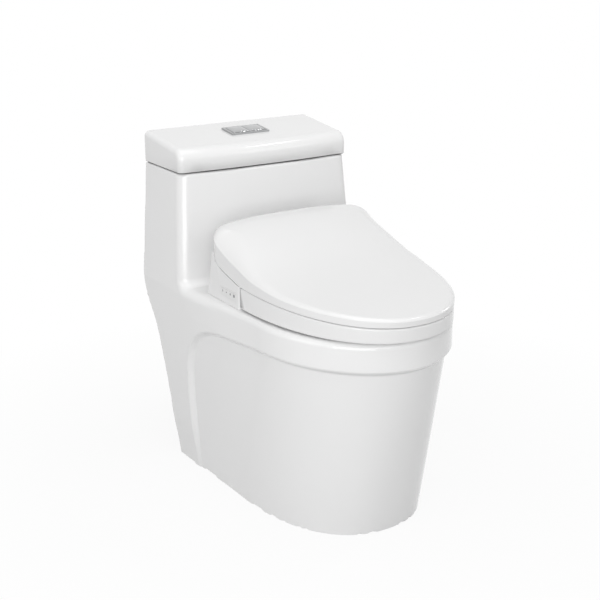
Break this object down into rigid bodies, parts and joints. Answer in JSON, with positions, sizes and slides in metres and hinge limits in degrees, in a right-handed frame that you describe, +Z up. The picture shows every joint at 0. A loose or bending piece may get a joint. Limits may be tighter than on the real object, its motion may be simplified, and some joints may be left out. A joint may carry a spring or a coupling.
{
  "type": "one-piece smart toilet with heated seat",
  "caption": "One-piece white toilet whose tank, bowl and skirted foot are a single ceramic body, with a slow-close lid over a heated washing seat and a split push button.",
  "frame": {"origin": "on the floor, under the middle of the toilet's overall length and width", "axes": "+Z up, +Y towards the wall behind the tank, +X to the right of someone who faces the toilet from the front"},
  "size_m": [0.4278, 0.69, 0.7],
  "materials": {
    "ceramic": "glossy white glaze over vitreous china",
    "white_plastic": "smooth white moulded plastic",
    "grey_plastic": "matte grey moulded plastic",
    "dark_plastic": "matte dark moulded plastic",
    "valve_plastic": "matte off-white moulded plastic",
    "chrome": "polished chrome plating",
    "steel": "plain stainless steel",
    "brass": "machined brass",
    "rubber": "soft black rubber",
    "clear_rubber": "soft pale rubber",
    "board": "green circuit board",
    "heater_foil": "aluminium foil heating sheet"
  },
  "bodies": {
    "root": {"ceramic_body": "ceramic", "tank_lid_pads": "clear_rubber", "flush_valve_gasket": "rubber", "flush_valve_tower": "valve_plastic", "fill_valve_gasket": "rubber", "fill_valve_riser": "valve_plastic", "fill_valve_cap": "dark_plastic", "fill_valve_nut": "valve_plastic", "seat_mount_plate": "valve_plastic", "seat_mount_bolts": "steel", "seat_mount_washers": "rubber", "seat_mount_nuts": "valve_plastic", "housing_cover": "white_plastic", "housing_tray": "white_plastic", "housing_feet": "clear_rubber", "hinge_pins": "steel", "hinge_dampers": "dark_plastic", "key_frame": "grey_plastic", "key_board": "board", "nozzle_cradle": "valve_plastic", "nozzle_motor": "dark_plastic", "nozzle_wiper": "clear_rubber", "water_heater": "dark_plastic", "control_board": "board", "power_supply": "dark_plastic", "solenoid_valve": "valve_plastic", "water_inlet": "brass", "cord_gland": "rubber", "blower_housing": "valve_plastic", "blower_plate": "valve_plastic", "blower_motor": "steel", "air_duct": "valve_plastic"},
    "tank_cover": {"tank_lid": "ceramic", "flush_bezel": "chrome", "bezel_clamp": "valve_plastic", "bezel_nut": "valve_plastic", "full_flush_spring": "steel", "half_flush_spring": "steel"},
    "full_button": {"full_flush_button": "chrome", "full_flush_rod": "valve_plastic"},
    "half_button": {"half_flush_button": "chrome", "half_flush_rod": "valve_plastic"},
    "canister": {"flush_canister": "grey_plastic", "flush_seal": "rubber"},
    "float": {"fill_valve_float": "grey_plastic"},
    "ring": {"seat_ring_top": "white_plastic", "seat_ring_base": "white_plastic", "seat_heater": "heater_foil", "seat_ring_bumpers": "clear_rubber"},
    "lid": {"seat_lid_cover": "white_plastic", "seat_lid_panel": "white_plastic", "seat_lid_bumpers": "clear_rubber"},
    "nozzle": {"nozzle_tube": "steel", "nozzle_tip": "white_plastic"},
    "roller": {"nozzle_roller": "rubber"},
    "blower_rotor": {"blower_wheel": "dark_plastic"},
    "key_a": {"key_1": "grey_plastic"},
    "key_b": {"key_2": "grey_plastic"},
    "key_c": {"key_3": "grey_plastic"},
    "key_d": {"key_4": "grey_plastic"}
  },
  "joints": [
    {"name": "seat_hinge", "type": "hinge", "parent": "root", "child": "ring", "pos_m": [0, 0.083, 0.5], "axis": [-1, 0, 0], "range_deg": [0, 96]},
    {"name": "lid_hinge", "type": "hinge", "parent": "ring", "child": "lid", "pos_m": [0, 0.083, 0.5], "axis": [1, 0, 0], "range_deg": [-98, 0]},
    {"name": "tank_lid_lift", "type": "slide", "parent": "root", "child": "tank_cover", "axis": [0, 0, 1], "range_m": [0, 0.15]},
    {"name": "full_flush_press", "type": "slide", "parent": "tank_cover", "child": "full_button", "axis": [0, 0, -1], "range_m": [0, 0.005], "stiffness_N_per_m": 300, "springref_m": -0.002, "deforming": ["full_flush_spring"]},
    {"name": "half_flush_press", "type": "slide", "parent": "tank_cover", "child": "half_button", "axis": [0, 0, -1], "range_m": [0, 0.005], "stiffness_N_per_m": 300, "springref_m": -0.002, "deforming": ["half_flush_spring"]},
    {"name": "nozzle_slide", "type": "slide", "parent": "root", "child": "nozzle", "axis": [0, -0.9397, -0.342], "range_m": [0, 0.07]},
    {"name": "roller_spin", "type": "hinge", "parent": "root", "child": "roller", "pos_m": [0, -0.00608, 0.44559], "axis": [-1, 0, 0], "range_deg": [-2, 805]},
    {"name": "canister_lift", "type": "slide", "parent": "root", "child": "canister", "axis": [0, 0, 1], "range_m": [0, 0.025]},
    {"name": "float_rise", "type": "slide", "parent": "root", "child": "float", "axis": [0, 0, 1], "range_m": [0, 0.07]},
    {"name": "blower_spin", "type": "hinge", "parent": "root", "child": "blower_rotor", "pos_m": [0.078, 0.028, 0.43], "axis": [0, 0, 1], "continuous": true},
    {"name": "key_1_press", "type": "slide", "parent": "root", "child": "key_a", "axis": [1, 0, 0], "range_m": [0, 0.0008], "stiffness_N_per_m": 400, "springref_m": -0.0005},
    {"name": "key_2_press", "type": "slide", "parent": "root", "child": "key_b", "axis": [1, 0, 0], "range_m": [0, 0.0008], "stiffness_N_per_m": 400, "springref_m": -0.0005},
    {"name": "key_3_press", "type": "slide", "parent": "root", "child": "key_c", "axis": [1, 0, 0], "range_m": [0, 0.0008], "stiffness_N_per_m": 400, "springref_m": -0.0005},
    {"name": "key_4_press", "type": "slide", "parent": "root", "child": "key_d", "axis": [1, 0, 0], "range_m": [0, 0.0008], "stiffness_N_per_m": 400, "springref_m": -0.0005}
  ],
  "couplings": [
    {"joint": "roller_spin", "follows": "nozzle_slide", "rad_per_m": 200}
  ]
}
